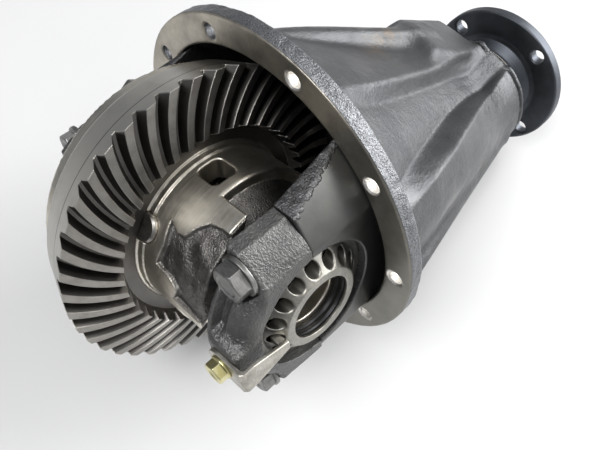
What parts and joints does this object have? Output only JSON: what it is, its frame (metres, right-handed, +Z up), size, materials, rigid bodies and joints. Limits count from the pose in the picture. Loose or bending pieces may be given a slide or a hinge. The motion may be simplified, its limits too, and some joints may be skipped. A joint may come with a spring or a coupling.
{
  "type": "differential gear assembly",
  "caption": "Drop-out differential carrier: ribbed cast housing with a round bolt flange, hypoid ring gear and pinion, capped side bearings and a companion flange on the nose.",
  "frame": {"origin": "centre of the mounting flange's machined face", "axes": "+Y runs along the pinion to the companion flange, +X along the gear axis to the right axle shaft, +Z is up"},
  "size_m": [0.236, 0.378, 0.236],
  "materials": {
    "carrier_iron": "satin dark grey paint over sand-cast iron, machined faces bare",
    "cap_iron": "rough sand-cast, dark grey",
    "case_iron": "turned bright on the drum, as cast in the hollows",
    "gear_steel": "dark hardened steel with ground and worn edges",
    "shaft_steel": "ground steel",
    "bearing_steel": "ground and polished",
    "bolt_steel": "phosphated steel, worn bright on the corners",
    "yellow_zinc": "yellow zinc plated",
    "plate_steel": "worn pressed steel",
    "nut_steel": "dull turned steel",
    "companion_steel": "dark satin, rim and faces turned bright",
    "seal_rubber": "matt"
  },
  "bodies": {
    "carrier": {"carrier_housing": "carrier_iron", "bearing_cap_right": "cap_iron", "bearing_cap_left": "cap_iron", "cap_bolts": "bolt_steel", "cap_bolt_washers": "bolt_steel", "lock_plate_bolts": "yellow_zinc", "lock_plate_right": "plate_steel", "lock_plate_left": "plate_steel", "adjusting_nut_right": "nut_steel", "adjusting_nut_left": "nut_steel", "side_bearing_right_cup": "bearing_steel", "side_bearing_left_cup": "bearing_steel", "head_bearing_cup": "bearing_steel", "tail_bearing_cup": "bearing_steel", "oil_seal_shell": "plate_steel", "oil_seal_lip": "seal_rubber"},
    "case_unit": {"ring_gear": "gear_steel", "ring_gear_bolts": "bolt_steel", "bolt_lock_tabs": "bolt_steel", "differential_case": "case_iron", "cross_pin": "shaft_steel", "side_gear_washer_right": "shaft_steel", "side_gear_washer_left": "shaft_steel", "spider_gear_washer_upper": "shaft_steel", "spider_gear_washer_lower": "shaft_steel", "side_bearing_right_cone": "bearing_steel", "side_bearing_left_cone": "bearing_steel"},
    "pinion_unit": {"drive_pinion": "gear_steel", "head_bearing_cone": "bearing_steel", "tail_bearing_cone": "bearing_steel", "head_bearing_shim": "shaft_steel", "crush_spacer": "shaft_steel", "oil_slinger": "shaft_steel", "companion_flange": "companion_steel", "dust_deflector": "plate_steel", "pinion_nut_washer": "bolt_steel", "pinion_nut": "bolt_steel"},
    "side_gear_left_unit": {"side_gear_left": "gear_steel"},
    "side_gear_right_unit": {"side_gear_right": "gear_steel"},
    "spider_upper_unit": {"spider_gear_upper": "gear_steel"},
    "spider_lower_unit": {"spider_gear_lower": "gear_steel"},
    "side_rollers_right": {"side_bearing_right_rollers": "bearing_steel", "side_bearing_right_cage": "bearing_steel"},
    "side_rollers_left": {"side_bearing_left_rollers": "bearing_steel", "side_bearing_left_cage": "bearing_steel"},
    "head_rollers": {"head_bearing_rollers": "bearing_steel", "head_bearing_cage": "bearing_steel"},
    "tail_rollers": {"tail_bearing_rollers": "bearing_steel", "tail_bearing_cage": "bearing_steel"}
  },
  "joints": [
    {"name": "ring_gear_spin", "type": "hinge", "parent": "carrier", "child": "case_unit", "pos_m": [0, -0.043, 0], "axis": [1, 0, 0], "continuous": true},
    {"name": "pinion_spin", "type": "hinge", "parent": "carrier", "child": "pinion_unit", "pos_m": [0.027, 0, -0.028], "axis": [0, 1, 0], "continuous": true},
    {"name": "side_rollers_right_spin", "type": "hinge", "parent": "carrier", "child": "side_rollers_right", "pos_m": [0, -0.043, 0], "axis": [1, 0, 0], "continuous": true},
    {"name": "side_rollers_left_spin", "type": "hinge", "parent": "carrier", "child": "side_rollers_left", "pos_m": [0, -0.043, 0], "axis": [1, 0, 0], "continuous": true},
    {"name": "head_rollers_spin", "type": "hinge", "parent": "carrier", "child": "head_rollers", "pos_m": [0.027, 0, -0.028], "axis": [0, 1, 0], "continuous": true},
    {"name": "tail_rollers_spin", "type": "hinge", "parent": "carrier", "child": "tail_rollers", "pos_m": [0.027, 0, -0.028], "axis": [0, 1, 0], "continuous": true},
    {"name": "side_gear_left_spin", "type": "hinge", "parent": "case_unit", "child": "side_gear_left_unit", "pos_m": [-0.001, -0.043, 0], "axis": [1, 0, 0], "continuous": true},
    {"name": "side_gear_right_spin", "type": "hinge", "parent": "case_unit", "child": "side_gear_right_unit", "pos_m": [-0.001, -0.043, 0], "axis": [1, 0, 0], "continuous": true},
    {"name": "spider_upper_spin", "type": "hinge", "parent": "case_unit", "child": "spider_upper_unit", "pos_m": [-0.001, -0.043, 0], "axis": [0, -0.7771, 0.6293], "continuous": true},
    {"name": "spider_lower_spin", "type": "hinge", "parent": "case_unit", "child": "spider_lower_unit", "pos_m": [-0.001, -0.043, 0], "axis": [0, 0.7771, -0.6293], "continuous": true}
  ],
  "couplings": [
    {"joint": "pinion_spin", "follows": "ring_gear_spin", "ratio": 3.9091},
    {"joint": "side_rollers_right_spin", "follows": "ring_gear_spin", "ratio": 0.4352},
    {"joint": "side_rollers_left_spin", "follows": "ring_gear_spin", "ratio": 0.4352},
    {"joint": "head_rollers_spin", "follows": "ring_gear_spin", "ratio": 1.6258},
    {"joint": "tail_rollers_spin", "follows": "ring_gear_spin", "ratio": 1.6243},
    {"joint": "side_gear_right_spin", "follows": "side_gear_left_spin", "ratio": -1},
    {"joint": "spider_upper_spin", "follows": "side_gear_left_spin", "ratio": 1.6},
    {"joint": "spider_lower_spin", "follows": "side_gear_left_spin", "ratio": 1.6}
  ]
}
